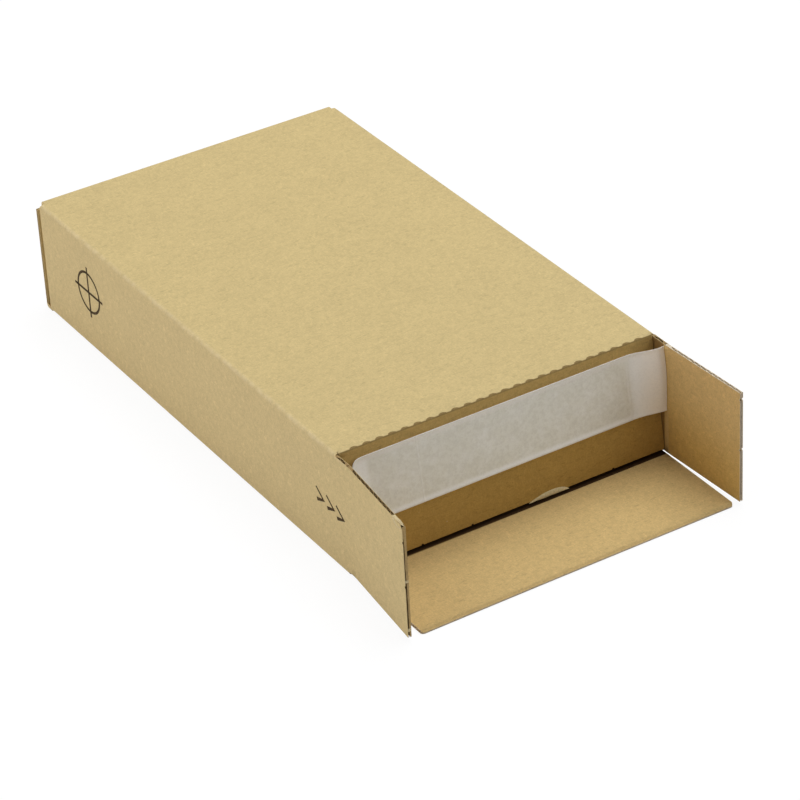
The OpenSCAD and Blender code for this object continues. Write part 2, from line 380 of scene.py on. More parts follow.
def body_tone(s):
    """Outside kraft and a warmer inside as painted shade, shaded front ends, and a painted shadow band on the
    base by the bottom fold.
    """
    x, y, z = s.split(s.mm)
    n = s.split(s.normal)
    half = BOX_TOP / MM / 2
    sideways = s.times(n[0], x, -1 / (WALL_X / MM))
    upright = s.times(n[2], s.math("SUBTRACT", z, half), -1 / half)
    inner = s.step(s.math("ADD", sideways, upright), 0.2, 0.5)
    # Painted shade: the inside faces get the warmer kraft
    tone = s.mix(inner, linear(KRAFT), linear(KRAFT_INSIDE_SHADED))
    fold_y = BOTTOM_AXIS.y / MM
    slant, shift = BAND_SLANT
    slanted = s.math("ADD", y, s.math("SUBTRACT", s.times(x, slant / (WALL_X / MM)), shift))
    on_base = s.times(s.step(z, BOARD_T / MM + 0.2, BOARD_T / MM + 0.1), s.step(n[2], 0.5, 0.8))
    # Painted shadow: a near-black band on the base behind the bottom fold, under the closing flap's lower edge
    painted_shadow = s.times(s.step(slanted, *(fold_y + away for away in BAND_FRONT)),
                   s.step(y, *(fold_y + away for away in BAND_BACK)), on_base)
    axis_y = CLOSING_AXIS.y / MM
    wall_end = s.times(inner, s.step(y, axis_y + 3, axis_y - 0.5), s.step(n[2], 0.3, 0.2))
    tone = s.mix(wall_end, tone, linear(WALL_SHADED))
    return s.mix(painted_shadow, tone, linear(BASE_PAINTED_SHADOW))


def flap_raw(place, normal, width, run, flatten=None):
    """Cut edges and flute cells of a flap. Its middle plane passes through place on the fold, which lies
    along width, and it runs off along run. flatten takes the shader and gives the flat flap's place in mm."""
    def mask(s):
        def facing(axis):
            return s.math("ABSOLUTE", s.vector("DOT_PRODUCT", s.normal, tuple(axis)))

        from_fold = s.vector("SUBTRACT", flatten(s) if flatten else s.mm, tuple(Vector(place) / MM))
        apart = s.math("ABSOLUTE", s.vector("DOT_PRODUCT", from_fold, tuple(normal)))
        beyond = s.step(s.vector("DOT_PRODUCT", from_fold, tuple(run)), *ROOT_END)
        ends = s.most(*(s.step(facing(axis), 0.97, 0.99) for axis in (width, run)))
        inside = s.times(beyond, s.step(apart, *(HALF_T / MM - depth for depth in FACE_DEPTH)))
        edge = s.times(s.step(facing(normal), 0.75, 0.55), s.math("MAXIMUM", beyond, ends))
        cell = s.times(inside, s.math("SUBTRACT", 1.0, ends))
        return s.math("MAXIMUM", edge, inside), s.step(apart, *CORE_HALF), cell
    return mask


def body_raw(s):
    """Cut edges of the carton: its front ends, the tear line, the walls' top rims and the outer back flap."""
    x, y, z = s.split(s.mm)
    n = s.split(s.normal)
    side, upright = s.math("ABSOLUTE", x), s.math("ABSOLUTE", n[2])
    top, wall, t = BOX_TOP / MM, WALL_X / MM, BOARD_T / MM
    front_y, back_y = CLOSING_AXIS.y / MM, BACK_Y / MM
    front = s.times(s.step(n[1], -0.6, -0.8), s.step(y, -80, -100))
    tear = s.times(s.step(upright, 0.7, 0.5), s.step(z, top - t - 0.1, top - t),
                   s.step(y, front_y + 2.45, front_y + 2.25), s.step(side, wall - 1.9, wall - 2.1))
    back = s.times(s.step(s.math("ABSOLUTE", n[1]), 0.7, 0.5), s.step(y, back_y - t - 0.1, back_y - t + 0.02),
                   s.step(z, 1.9, 2.1))
    rim = s.times(s.step(upright, 0.6, 0.8), s.step(z, top - 1.1, top - 0.95),
                  s.step(z, top - 0.7, top - 0.75), s.step(y, front_y + 0.2, front_y))
    wall_core = s.step(s.math("ABSOLUTE", s.math("SUBTRACT", side, wall - t / 2)), *CORE_HALF)
    inside = s.times(wall_core, s.step(y, front_y - 0.5, front_y - 0.9), s.step(z, 3, 5),
                     s.step(upright, 0.5, 0.4), s.step(side, wall - t, wall - t + 0.1))
    back_core = s.step(s.math("ABSOLUTE", s.math("SUBTRACT", y, back_y - t / 2)), *CORE_HALF)
    depth = s.most(s.times(wall_core, s.step(y, front_y, front_y - 0.5)), s.times(back, back_core), tear)
    return s.most(front, tear, back, rim, inside), depth, inside


def body_light(s):
    """Paler stretches along the long folds of the tube."""
    x, _, z = s.split(s.mm)
    side = s.step(s.math("ABSOLUTE", x), WALL_X / MM - 2.0, WALL_X / MM - 0.7)
    top = s.step(z, BOX_TOP / MM - 2.2, BOX_TOP / MM - 0.6)
    low = s.step(z, 2.2, 0.8)
    return s.times(side, s.math("MAXIMUM", top, low))


def dress(node, material):
    """Gives a CAD node its material, through its object's slots."""
    for slot in frame["nodes"][node].material_slots:
        slot.material = material


def mesh_object(name, points, faces, material, flat=()):
    data = bpy.data.meshes.new(name)
    data.from_pydata([tuple(p) for p in points], [], faces)
    data.update()
    flat = set(flat)
    for face in data.polygons:
        face.use_smooth = face.index not in flat
    data.materials.append(material)
    made = bpy.data.objects.new(name, data)
    bpy.context.scene.collection.objects.link(made)
    return made


class Sheets:
    """Thin closed sheets gathered into one mesh. Their rims are flat faces, so that the edges stay sharp."""

    def __init__(self):
        self.points, self.faces, self.flat = [], [], []

    def add(self, grid, thickness, outward):
        """grid is rows of points on the outer side of one sheet."""
        base = len(self.points)
        rows, cols = len(grid), len(grid[0])
        outward = Vector(outward)
        for i in range(rows):
            for j in range(cols):
                self.points.append(Vector(grid[i][j]))
        for i in range(rows):
            for j in range(cols):
                along = Vector(grid[min(i + 1, rows - 1)][j]) - Vector(grid[max(i - 1, 0)][j])
                over = Vector(grid[i][min(j + 1, cols - 1)]) - Vector(grid[i][max(j - 1, 0)])
                n = along.cross(over)
                n = n.normalized() if n.length > 1e-12 else outward.normalized()
                if n.dot(outward) < 0:
                    n.negate()
                self.points.append(Vector(grid[i][j]) - n * thickness)
        size = rows * cols
        a, b, c = Vector(grid[0][0]), Vector(grid[-1][0]), Vector(grid[0][-1])
        flip = (b - a).cross(c - a).dot(outward) < 0

        def quad(p, q, r, t, rim=False):
            if rim:
                self.flat.append(len(self.faces))
            ring = (t, r, q, p) if flip else (p, q, r, t)
            self.faces.append(tuple(base + k for k in ring))

        for i in range(rows - 1):
            for j in range(cols - 1):
                p, q = i * cols + j, (i + 1) * cols + j
                quad(p, q, q + 1, p + 1)
                quad(size + p + 1, size + q + 1, size + q, size + p)
        for i in range(rows - 1):
            p, q = i * cols, (i + 1) * cols
            quad(p, size + p, size + q, q, rim=True)
            quad(q + cols - 1, size + q + cols - 1, size + p + cols - 1, p + cols - 1, rim=True)
        for j in range(cols - 1):
            p, q = j, (rows - 1) * cols + j
            quad(p + 1, size + p + 1, size + p, p, rim=True)
            quad(q, size + q, size + q + 1, q + 1, rim=True)

    def make(self, name, material):
        return mesh_object(name, self.points, self.faces, material, self.flat)


# Paper over a fold: its distances from the axis, with its height above the board where it ends
SKIN_END = ((1.7 * MM, -0.04 * MM), (1.35 * MM, 0.0), (1.05 * MM, SKIN_PROUD))
SKIN_NEAR = (0.5 * MM, 0.4 * MM, 0.3 * MM, 0.2 * MM, 0.1 * MM)
SKIN_COLUMN = 4 * MM
ARC_STEP = math.radians(9)
NO_TURN = math.radians(1)
MITRE_ROOM = 1.05
# A fold's paper bends between these places, as shares of half the board from its axis
BEND_ENDS = 0.7


def turned(v, a):
    """The 2D vector v, turned by an angle a."""
    return Vector((v.x * math.cos(a) - v.y * math.sin(a), v.x * math.sin(a) + v.y * math.cos(a)))


def fold_line(from_dir, from_face, to_dir, to_face):
    """Section of the paper over a fold, about its axis. It rounds the fold, or goes into its hollow."""
    radius = HALF_T + SKIN_PROUD
    turn = math.atan2(from_face.x * to_face.y - from_face.y * to_face.x, from_face.dot(to_face))
    hollow = from_dir.dot(to_face) > 0 or abs(turn) < NO_TURN
    kept = [away for away in SKIN_NEAR if not hollow or away > MITRE_ROOM * radius * math.tan(abs(turn) / 2)]
    line = [from_face * (HALF_T + out) + from_dir * away for away, out in SKIN_END]
    line += [from_face * radius + from_dir * away for away in kept]
    if hollow:
        line.append((from_face + to_face).normalized() * radius / math.cos(turn / 2))
    else:
        steps = math.ceil(abs(turn) / ARC_STEP)
        line += [turned(from_face, turn * k / steps) * radius for k in range(steps + 1)]
    line += [to_face * radius + to_dir * away for away in reversed(kept)]
    line += [to_face * (HALF_T + out) + to_dir * away for away, out in reversed(SKIN_END)]
    return line


def spaced(low, high, gap):
    """Evenly spaced values from low to high, no further apart than gap and at least three."""
    count = max(2, math.ceil((high - low) / gap))
    return [low + (high - low) * k / count for k in range(count + 1)]


def bend(made, place, from_dir, from_face, to_dir, to_face):
    """Bakes the fold paper's transform into its mesh. The places where its bend starts and ends are worked
    out, and nothing uses them.
    """
    start = place(from_face * HALF_T + from_dir * BEND_ENDS * HALF_T, 0)
    end = place(to_face * HALF_T + to_dir * BEND_ENDS * HALF_T, 0)
    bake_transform(made)
    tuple(start)
    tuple(end)


def fold_paper(name, place, span, from_dir, from_face, to_dir, to_face, material, sides=(1, -1)):
    """The paper over a fold. place gives a section point in the row frame."""
    sheets = Sheets()
    for side in sides:
        line = fold_line(from_dir, from_face * side, to_dir, to_face * side)
        grid = [[place(p, t) for t in spaced(span[0], span[1], SKIN_COLUMN)] for p in line]
        middle = place((from_face + to_face) * (side * HALF_T), span[0]) - place(Vector((0, 0)), span[0])
        sheets.add(grid, SKIN_T, middle)
    made = sheets.make(name, material)
    bend(made, place, from_dir, from_face, to_dir, to_face)


# The tear line: half-moon holes in the paper of the closing fold
CUT_PITCH = 5.9 * MM
CUT_COUNT = 24
CUT_FIRST = -(CUT_COUNT - 1) * CUT_PITCH / 2
CUT_R = 2.2 * MM
CUT_RAGGED = 0.10 * MM
CUT_SHARES = (1.04, 1.0, 0.96, 0.88, 0.75, 0.55, 0.3, 0.0)
HOLE_REACH = 0.75 * MM
HOLE_FRONT = -0.50 * MM
HINGE_DEEP = 0.03 * MM
HINGE_ROWS = (1.3 * MM, 0.9 * MM, 0.5 * MM, 0.2 * MM, 0.0)
ARC_PARTS = 6


def hole_edge(x):
    """How far behind the closing axis the paper's hole reaches at x, no less than HOLE_FRONT."""
    k = min(max(round((x - CUT_FIRST) / CUT_PITCH), 0), CUT_COUNT - 1)
    away = abs(x - CUT_FIRST - k * CUT_PITCH)
    if away >= CUT_R:
        return HOLE_FRONT
    ragged = CUT_RAGGED * noise.noise(Vector((x / (0.9 * MM), 4.7, k)))
    return max(HOLE_REACH - CUT_R + math.sqrt(CUT_R ** 2 - away ** 2) + ragged, HOLE_FRONT)


def tear_columns(low, high):
    """Places across the fold at which its paper is drawn: close together at each half-moon."""
    half = math.sqrt(CUT_R ** 2 - (CUT_R - HOLE_REACH + HOLE_FRONT) ** 2)
    columns = [low, high]
    for k in range(CUT_COUNT):
        centre = CUT_FIRST + k * CUT_PITCH
        columns += [centre - half * s for s in CUT_SHARES] + [centre + half * s for s in CUT_SHARES[:-1]]
    return sorted(c for c in columns if low <= c <= high)


def closing_fold_paper(material):
    """Paper of the closing fold: two outer sheets that leave the half-moons open, the layer painted brown as
    shade that shows in them, and the inner one."""
    a = CLOSING_REST
    radius = HALF_T + SKIN_PROUD
    flat, up = Vector((1, 0)), Vector((0, 1))
    down, front = Vector((-math.sin(a), -math.cos(a))), Vector((-math.cos(a), math.sin(a)))

    def place(p, x):
        return Vector((x, CLOSING_AXIS.y + p.x, CLOSING_AXIS.z + p.y))

    def on_arc(back):
        """The point of the fold's round at a distance behind the axis, which is negative in front of it."""
        return Vector((back, math.sqrt(radius ** 2 - back ** 2)))

    plain_columns = spaced(CLOSING_LO.x, CLOSING_HI.x, SKIN_COLUMN)
    columns = tear_columns(CLOSING_LO.x, CLOSING_HI.x)
    edges = [hole_edge(x) for x in columns]
    rows = [[place(Vector((away, HALF_T + out)), x) for x in columns] for away, out in SKIN_END]
    near = SKIN_END[-1][0]
    for k in range(1, ARC_PARTS + 1):
        row = []
        for x, edge in zip(columns, edges):
            back = near + (edge - near) * k / ARC_PARTS
            row.append(place(on_arc(back) if back < 0 else Vector((back, radius)), x))
        rows.append(row)
    sheets = Sheets()
    sheets.add(rows, SKIN_T, (0, -0.3, 1))
    start = math.asin(-HOLE_FRONT / radius)
    arc = math.pi / 2 - a - start
    line = [turned(up, start + arc * k / ARC_PARTS) * radius for k in range(ARC_PARTS + 1)]
    line += [front * radius + down * away for away in reversed(SKIN_NEAR)]
    line += [front * (HALF_T + out) + down * away for away, out in reversed(SKIN_END)]
    hinge = [Vector((away, HALF_T - HINGE_DEEP)) for away in HINGE_ROWS]
    inner = fold_line(flat, -up, down, -front)
    for section, outward in ((line, (0, -1, 0.3)), (hinge, (0, 0, 1)), (inner, (0, 1, -1))):
        sheets.add([[place(p, x) for x in plain_columns] for p in section], SKIN_T, outward)
    made = sheets.make("closing_fold_paper", material)
    bend(made, place, flat, up, down, front)


def closing_fold_tone(s):
    """Plain kraft on top, the closing flap's shaded strip tone in front, and painted shade: deep brown on the
    upward faces in front and on the layer in the cuts.
    """
    y, z = s.split(s.mm)[1:]
    axis_y, top = CLOSING_AXIS.y / MM, (CLOSING_AXIS.z + HALF_T) / MM
    # Painted shade: the fold's upward faces in front get deep brown
    upward = s.step(s.split(s.normal)[2], 0.15, 0.7)
    front = s.mix(upward, linear(KRAFT_STRIP_SHADED), linear(HINGE_PAINTED_SHADE))
    tone = s.mix(s.step(y, axis_y - 0.2, axis_y - 0.42), linear(KRAFT), front)
    # Painted shade: the layer under the half-moon holes is deep brown
    sunk = s.times(s.step(z, top + 0.003, top - 0.003), s.step(y, axis_y - 0.2, axis_y - 0.1))
    return s.mix(sunk, tone, linear(HINGE_PAINTED_SHADE))


def make_folds():
    """Folds of the four front flaps."""
    closing_fold_paper(board("board_closing_fold", 1, closing_fold_tone, grain=OUTER_GRAIN))
    for name, axis, rest, out in (("left", LEFT_AXIS, LEFT_REST, -1), ("right", RIGHT_AXIS, RIGHT_REST, 1)):
        low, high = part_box(name + "_flap")
        place = (lambda p, t, axis=axis: Vector((axis.x + p.x, axis.y + p.y, t)))
        # Painted shade: the folds' inner sides get the warmer kraft
        material = board("board_" + name + "_fold", 1, two_tones((out, 0, 0), KRAFT, KRAFT_INSIDE_SHADED),
                         grain=OUTER_GRAIN)
        fold_paper(name + "_fold_paper", place, (low.z, high.z), Vector((0, 1)),
                   Vector((out, 0)), Vector((out * math.sin(rest), -math.cos(rest))),
                   Vector((out * math.cos(rest), math.sin(rest))), material)
    material = board("board_bottom_fold", 1, two_tones((0, 0, 1), KRAFT_BOTTOM, KRAFT))
    fold_paper("bottom_fold_paper",
               lambda p, t: Vector((t, BOTTOM_AXIS.y + p.x, BOTTOM_AXIS.z + p.y)),
               (BASE_LO.x, BASE_HI.x), Vector((1, 0)), Vector((0, 1)), Vector((-1, 0)), Vector((0, 1)),
               material, sides=(1,))


def on_closing(x, down, out):
    """A point of the closing flap: x across, a distance down from the fold and out from its front face."""
    a = CLOSING_REST
    out += HALF_T
    return Vector((x, CLOSING_AXIS.y - down * math.sin(a) - out * math.cos(a),
                   CLOSING_AXIS.z - down * math.cos(a) + out * math.sin(a)))


# The release liner, as distances along the closing flap. Its right end has peeled off and curls forward.
TAPE_LO, TAPE_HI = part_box("adhesive_strip")
LINER_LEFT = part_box("release_liner")[0].x
LINER_END = CLOSING_HI.x + 0.1 * MM
LINER_DOWN = (3.6 * MM, 32.9 * MM)
LINER_T = 0.1 * MM
LINER_CORNER = 4.2 * MM
LINER_CLEAR = 0.05 * MM
LINER_RIPPLE = 0.05 * MM
LINER_GRID = (190, 44)
TAPE_T = 0.15 * MM
# How far the margins past the tape curl up: the left one, the upper one and the lower one
LINER_CURL = (0.35 * MM, 0.7 * MM, 0.3 * MM)
CURL_SHARE = 0.07
# Where the peel starts at the two edges, and the lift of its end: at the top, its change down, its belly
PEEL_TOP = 60.5 * MM
PEEL_LOW = 61.5 * MM
PEEL_OUT = (6.8 * MM, -2.5 * MM, 1.35 * MM)
PEEL_RISE = (1.5 * MM, 0.8 * MM)
# How fast the lift comes along the peel: at the upper edge, and at the lower one with its straight share
PEEL_EARLY = 1.12
PEEL_LATE = 1.05
PEEL_STRAIGHT = 0.35


def smooth(t):
    """Goes from 0 at 0 to 1 at 1, smoothly."""
    t = min(max(t, 0.0), 1.0)
    return t * t * (3 - 2 * t)


def liner_place(x, share):
    """A point of the liner. share goes from 0 at its upper edge to 1 at its lower one."""
    near = x - LINER_LEFT
    cut = LINER_CORNER - math.sqrt(max(0.0, LINER_CORNER ** 2 - max(0.0, LINER_CORNER - near) ** 2))
    top, low = LINER_DOWN[0] + cut, LINER_DOWN[1] - cut
    down = top + (low - top) * share
    start = PEEL_TOP + (PEEL_LOW - PEEL_TOP) * share
    t = max(0.0, (x - start) / (LINER_END - start))
    full = PEEL_OUT[0] + PEEL_OUT[1] * share + PEEL_OUT[2] * math.sin(math.pi * share ** 0.75)
    early = smooth(PEEL_EARLY * t)
    late = PEEL_STRAIGHT * t + (1 - PEEL_STRAIGHT) * smooth(PEEL_LATE * t)
    lift = full * (early * (1 - share) + late * share)
    rise = (PEEL_RISE[0] * (1 - share) + PEEL_RISE[1] * share) * smooth(t) ** (1 - 0.4 * share)
    ripple = LINER_RIPPLE * noise.noise(Vector((x / (9 * MM), share * 2.2, 3.1)))
    margin = LINER_CURL[0] * smooth((TAPE_LO.x - x) / (TAPE_LO.x - LINER_LEFT))
    for curl, away in zip(LINER_CURL[1:], (share, 1 - share)):
        margin += curl * max(0.0, 1 - away / CURL_SHARE) ** 1.4
    return on_closing(x, down - rise, TAPE_T + LINER_T + lift + ripple + margin + LINER_CLEAR)


def make_liner(material):
    """Release liner, flat on its adhesive and curling off the flap at its right end."""
    cols, rows = LINER_GRID
    grid = []
    for i in range(cols + 1):
        t = i / cols
        x = LINER_LEFT + (LINER_END - LINER_LEFT) * (0.15 * t + 0.85 * math.sin(math.pi * t / 2))
        grid.append([liner_place(x, j / rows) for j in range(rows + 1)])
    sheets = Sheets()
    sheets.add(grid, LINER_T, (0, -1, 0))
    made = sheets.make("liner_paper", material)
    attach(made, "closing")
    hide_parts("release_liner")
    out = on_closing(0, 0, 1) - on_closing(0, 0, 0)
    on_closing(0, LINER_DOWN[0], TAPE_T + LINER_T)
    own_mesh(made)


# The liner's creases: place across and reach in mm
CREASES = ((-40.3, 0.5), (60.5, 0.8))


def liner_material():
    """Silicone-coated paper: greyer on the adhesive, painted warmer and darker as shade at its curled free
    end, and faintly creased.
    """
    s = Shader("liner_glassine")
    x, _, z = s.split(s.mm)
    field = s.times(s.step(x, TAPE_LO.x / MM - 1.5, TAPE_LO.x / MM + 1.5),
                    s.step(x, PEEL_TOP / MM + 4, PEEL_TOP / MM - 2),
                    s.step(z, TAPE_HI.z / MM + 0.8, TAPE_HI.z / MM - 1.2),
                    s.step(z, TAPE_LO.z / MM - 0.8, TAPE_LO.z / MM + 1.2))
    blotch = s.noise(6, detail=4, rough=0.6)
    patch = s.noise(2.0, detail=3, rough=0.6)
    fine = s.noise(0.8, detail=3)
    cloud = s.math("ADD", s.times(s.step(blotch, 0.2, 0.65), 0.7), s.times(s.step(patch, 0.3, 0.65), 0.3))
    tacked = s.times(field, s.math("ADD", 0.45, s.times(cloud, 0.6)))
    colour = s.mix(tacked, linear(LINER), linear(LINER_TACKED))
    # Painted shade at the curled free end
    colour = s.mix(s.step(x, PEEL_TOP / MM - 1, LINER_END / MM - 3), colour, linear(LINER_CURL_SHADED))
    dirt = s.math("ADD", s.times(s.step(fine, 0.42, 0.66), 0.10),
                  s.times(s.step(patch, 0.42, 0.62), field, 0.11))
    colour = s.mix(dirt, colour, linear(LINER_DIRT))
    wander = s.times(s.math("SUBTRACT", patch, 0.5), 1.2)
    lines = []
    for place, reach in CREASES:
        gap = s.math("ABSOLUTE", s.math("ADD", s.math("SUBTRACT", x, place), wander))
        lines.append(s.times(s.step(gap, reach, 0.1), s.step(blotch, 0.35, 0.6)))
    crease = s.most(*lines)
    colour = s.mix(s.times(crease, 0.45), colour, linear(LINER))
    height = s.math("ADD", s.times(blotch, 0.10), s.math("ADD", s.times(fine, 0.012), s.times(crease, 0.10)))
    s.bump(height)
    return s.finish(colour, s.math("ADD", 0.34, s.times(blotch, 0.2)), 1.0)


def adhesive_material():
    """Satin film of adhesive, faintly blotched."""
    s = Shader("adhesive_film")
    blotch = s.noise(4, detail=3)
    colour = s.mix(s.step(blotch, 0.3, 0.7), linear(ADHESIVE), linear(darker(ADHESIVE, 0.93)))
    s.bump(s.times(blotch, 0.03))
    return s.finish(colour, s.math("ADD", 0.25, s.times(blotch, 0.2)), 0.5)


# The bottom flap's free edge has bowed up off the floor in its middle, by less than the room that the closed
# side flaps leave it, and it is crushed. The mesh is cut across, and in rows at distances from that edge.
BOW = 0.25 * MM
BOW_POWER = 1.6
BOW_CUTS = 28
BOW_ROWS = tuple(away * MM for away in (0.3, 0.6, 0.9, 1.2, 1.6, 4, 8, 13, 19, 26, 34))
CRUSH_REACH = 1.6 * MM
CRUSH_KEEP = 0.42
WELD = 0.002 * MM
SHARP = math.radians(40)


def unbowed(s):
    """The place of the bottom flap's points before it was bowed and crushed, in mm."""
    x, y, z = s.split(s.mm)
    low = BASE_LO / MM
    axis_y = BOTTOM_AXIS.y / MM
    over = s.math("MAXIMUM", s.math("DIVIDE", s.math("SUBTRACT", axis_y, y), axis_y - low.y), 0.0)
    across = s.math("DIVIDE", x, BASE_HI.x / MM)
    middle = s.math("SUBTRACT", 1.0, s.times(across, across))
    bow = s.times(s.math("POWER", over, BOW_POWER), middle, BOW / MM)
    crushed = s.step(y, low.y, low.y + CRUSH_REACH / MM)
    keep = s.math("ADD", CRUSH_KEEP, s.times(crushed, 1 - CRUSH_KEEP))
    tall = s.math("DIVIDE", s.math("SUBTRACT", s.math("SUBTRACT", z, bow), low.z), keep)
    made = s.node("ShaderNodeCombineXYZ")
    for socket, value in zip(made.inputs, (x, y, s.math("ADD", tall, low.z))):
        s.feed(socket, value)
    return made.outputs[0]


def make_bottom_flap(material):
    """A bowed and crushed copy of the bottom flap, which stands for the flat one."""
    work = bmesh.new()
    work.from_mesh(frame["nodes"]["bottom_flap"].data)
    bmesh.ops.remove_doubles(work, verts=work.verts, dist=WELD)
    wide = BASE_HI.x - BASE_LO.x
    planes = [((BASE_LO.x + wide * k / BOW_CUTS, 0, 0), (1, 0, 0)) for k in range(1, BOW_CUTS)]
    planes += [((0, BASE_LO.y + away, 0), (0, 1, 0)) for away in BOW_ROWS]
    for place, normal in planes:
        everything = list(work.verts) + list(work.edges) + list(work.faces)
        bmesh.ops.bisect_plane(work, geom=everything, dist=1e-7, plane_co=place, plane_no=normal)
    reach = BOTTOM_AXIS.y - BASE_LO.y
    for v in work.verts:
        over = max(0.0, (BOTTOM_AXIS.y - v.co.y) / reach)
        crushed = smooth((v.co.y - BASE_LO.y) / CRUSH_REACH)
        v.co.z = BASE_LO.z + (v.co.z - BASE_LO.z) * (CRUSH_KEEP + (1 - CRUSH_KEEP) * crushed)
        v.co.z += BOW * over ** BOW_POWER * (1 - (v.co.x / BASE_HI.x) ** 2)
    for edge in work.edges:
        edge.smooth = edge.calc_face_angle(0.0) < SHARP
    for face in work.faces:
        face.smooth = True
        face.material_index = 0
    data = bpy.data.meshes.new("bottom_flap_bowed")
    work.to_mesh(data)
    work.free()
    data.materials.append(material)
    made = bpy.data.objects.new("bottom_flap_bowed", data)
    bpy.context.scene.collection.objects.link(made)
    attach(made, "bottom")
    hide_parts("bottom_flap")


# Print on the left wall, in mm: places are distances along the box and up from the floor
PRINT_LAYER = (0.035, -0.02)
STROKE = 1.25
ARROW_TIPS = ((-115.9, 26.7), (-123.7, 26.4), (-131.0, 25.4))
ARROW_UPPER = (5.6, 4.2)
ARROW_LOWER = (5.4, -1.7)
ARROW_NOSE = (0.9, 1.3)
# Width of the arms' ends, as shares of the stroke: the upper arm thins out and the lower one broadens
ARROW_ENDS = (0.75, 1.35)
MARK_CENTRE = Vector((81.5, 29.0))
MARK_R = 9.6
MARK_CROSS = 12.6
MARK_PARTS = 56


def wall_slab(sheets, ring):
    """A thin slab of ink over a ring of (y, z) points in mm, which is convex."""
    base, n = len(sheets.points), len(ring)
    for out in PRINT_LAYER:
        sheets.points += [Vector((-WALL_X - out * MM, y * MM, z * MM)) for y, z in ring]
    turn = sum(ring[k][0] * ring[(k + 1) % n][1] - ring[(k + 1) % n][0] * ring[k][1] for k in range(n))
    order = list(range(n)) if turn < 0 else list(reversed(range(n)))
    first = len(sheets.faces)
    sheets.faces.append(tuple(base + k for k in order))
    sheets.faces.append(tuple(base + n + k for k in reversed(order)))
    for k in range(n):
        p, q = order[k], order[(k + 1) % n]
        sheets.faces.append((base + q, base + p, base + n + p, base + n + q))
    sheets.flat += range(first, len(sheets.faces))


def stroke(sheets, start, end):
    """A straight stroke between two (y, z) points in mm."""
    side = (end - start).orthogonal().normalized() * STROKE / 2
    wall_slab(sheets, (start + side, end + side, end - side, start - side))


def arrowhead(sheets, tip):
    """Two arms that meet on one line through the tip."""
    tip = Vector(tip)
    upper, lower = Vector(ARROW_UPPER), Vector(ARROW_LOWER)
    middle = (upper.normalized() + lower.normalized()).normalized()
    nose, notch = tip - middle * ARROW_NOSE[0], tip + middle * ARROW_NOSE[1]
    for arm, end_width, turn in ((upper, ARROW_ENDS[0], 1), (lower, ARROW_ENDS[1], -1)):
        side = Vector((-arm.y, arm.x)).normalized() * turn * end_width * STROKE / 2
        wall_slab(sheets, (nose, tip + arm + side, tip + arm - side, notch))


def make_prints(material):
    """Three plain arrowheads, and a register mark of a ring and a cross."""
    arrows, mark = Sheets(), Sheets()
    for tip in ARROW_TIPS:
        arrowhead(arrows, tip)
    inner, outer = MARK_R - STROKE / 2, MARK_R + STROKE / 2
    for k in range(MARK_PARTS):
        a, b = (Vector((math.cos(t), math.sin(t)))
                for t in (2 * math.pi * k / MARK_PARTS, 2 * math.pi * (k + 1) / MARK_PARTS))
        wall_slab(mark, [MARK_CENTRE + p for p in (a * inner, a * outer, b * outer, b * inner)])
    for arm in (Vector((MARK_CROSS, 0)), Vector((0, MARK_CROSS))):
        stroke(mark, MARK_CENTRE - arm, MARK_CENTRE + arm)
    for name, sheets in (("arrow_print", arrows), ("register_mark_print", mark)):
        made = sheets.make(name, material)
        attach(made, "carton")


def ink_material():
    """Brown-black ink, thin enough to let the paper show in places."""
    s = Shader("print_ink")
    wear = s.noise(1.1, detail=4, rough=0.7)
    colour = s.mix(s.step(wear, 0.5, 0.8), linear(INK), linear(INK_WORN))
    s.bump(s.times(s.noise(0.5, detail=2), 0.02))
    return s.finish(colour, s.math("ADD", 0.7, s.times(wear, 0.15)), 0.2)


# Torn paper: the sliver's ends across the closing flap, and how far it reaches below the flap's edge
SLIVER_X = (7.0 * MM, 26.3 * MM)
SLIVER_BELOW = 0.4 * MM
SLIVER_TALL = 2.1 * MM
SLIVER_T = 0.1 * MM
# The sliver from top to bottom: share of its height, distance off the flap, and share of its lean
SLIVER_ROWS = ((1, 0.05 * MM, 0), (0.6, 0.12 * MM, 0.3), (0.25, 0.14 * MM, 0.7), (0, 0.1 * MM, 1))

# The left flap's torn corner, in mm: back from the free end, down from the top and out from the face
CORNER_ROWS = (
    ((8.8, 0.3, 0.05), (7.4, 1.4, 0.05), (5.6, 2.1, 0.07), (3.6, 2.4, 0.08), (1.5, 1.9, 0.06)),
    ((8.8, -0.06, -0.1), (7.0, -0.15, 0.0), (5.2, -0.35, -0.1), (3.2, -0.8, -0.4), (1.0, -0.2, -0.3)),
    ((8.6, -0.06, -1.4), (6.8, -0.25, -1.2), (4.8, -0.5, -1.1), (2.6, -1.0, -1.0), (0.1, 0.6, -1.1)),
    ((8.4, 0.3, -1.56), (6.6, 0.9, -1.6), (4.8, 1.1, -1.6), (3.2, 1.3, -1.6), (0.9, 2.4, -1.56)))

CORNER_STEPS = 16
CORNER_RAGGED = (0.5, 0.12, 0.12, 0.5)

# Pale bits on the left flap's free end, as distances down from its top and out from its face
END_BITS = ((25.0, 26.2), (47.4, 49.0))
END_BIT_ROW = (0.05, -0.5, -1.0, -1.55)

# The burr along that end: the gap between its points, its edge by the inner face, where its other edge starts,
# and how that draws in: by how much, from which drop and over how long
BURR_GAP = 0.9
BURR_INNER = -1.53
BURR_OUTER = -0.06
BURR_DRAWN = ((0.4, 3, 4), (0.3, 20, 8))


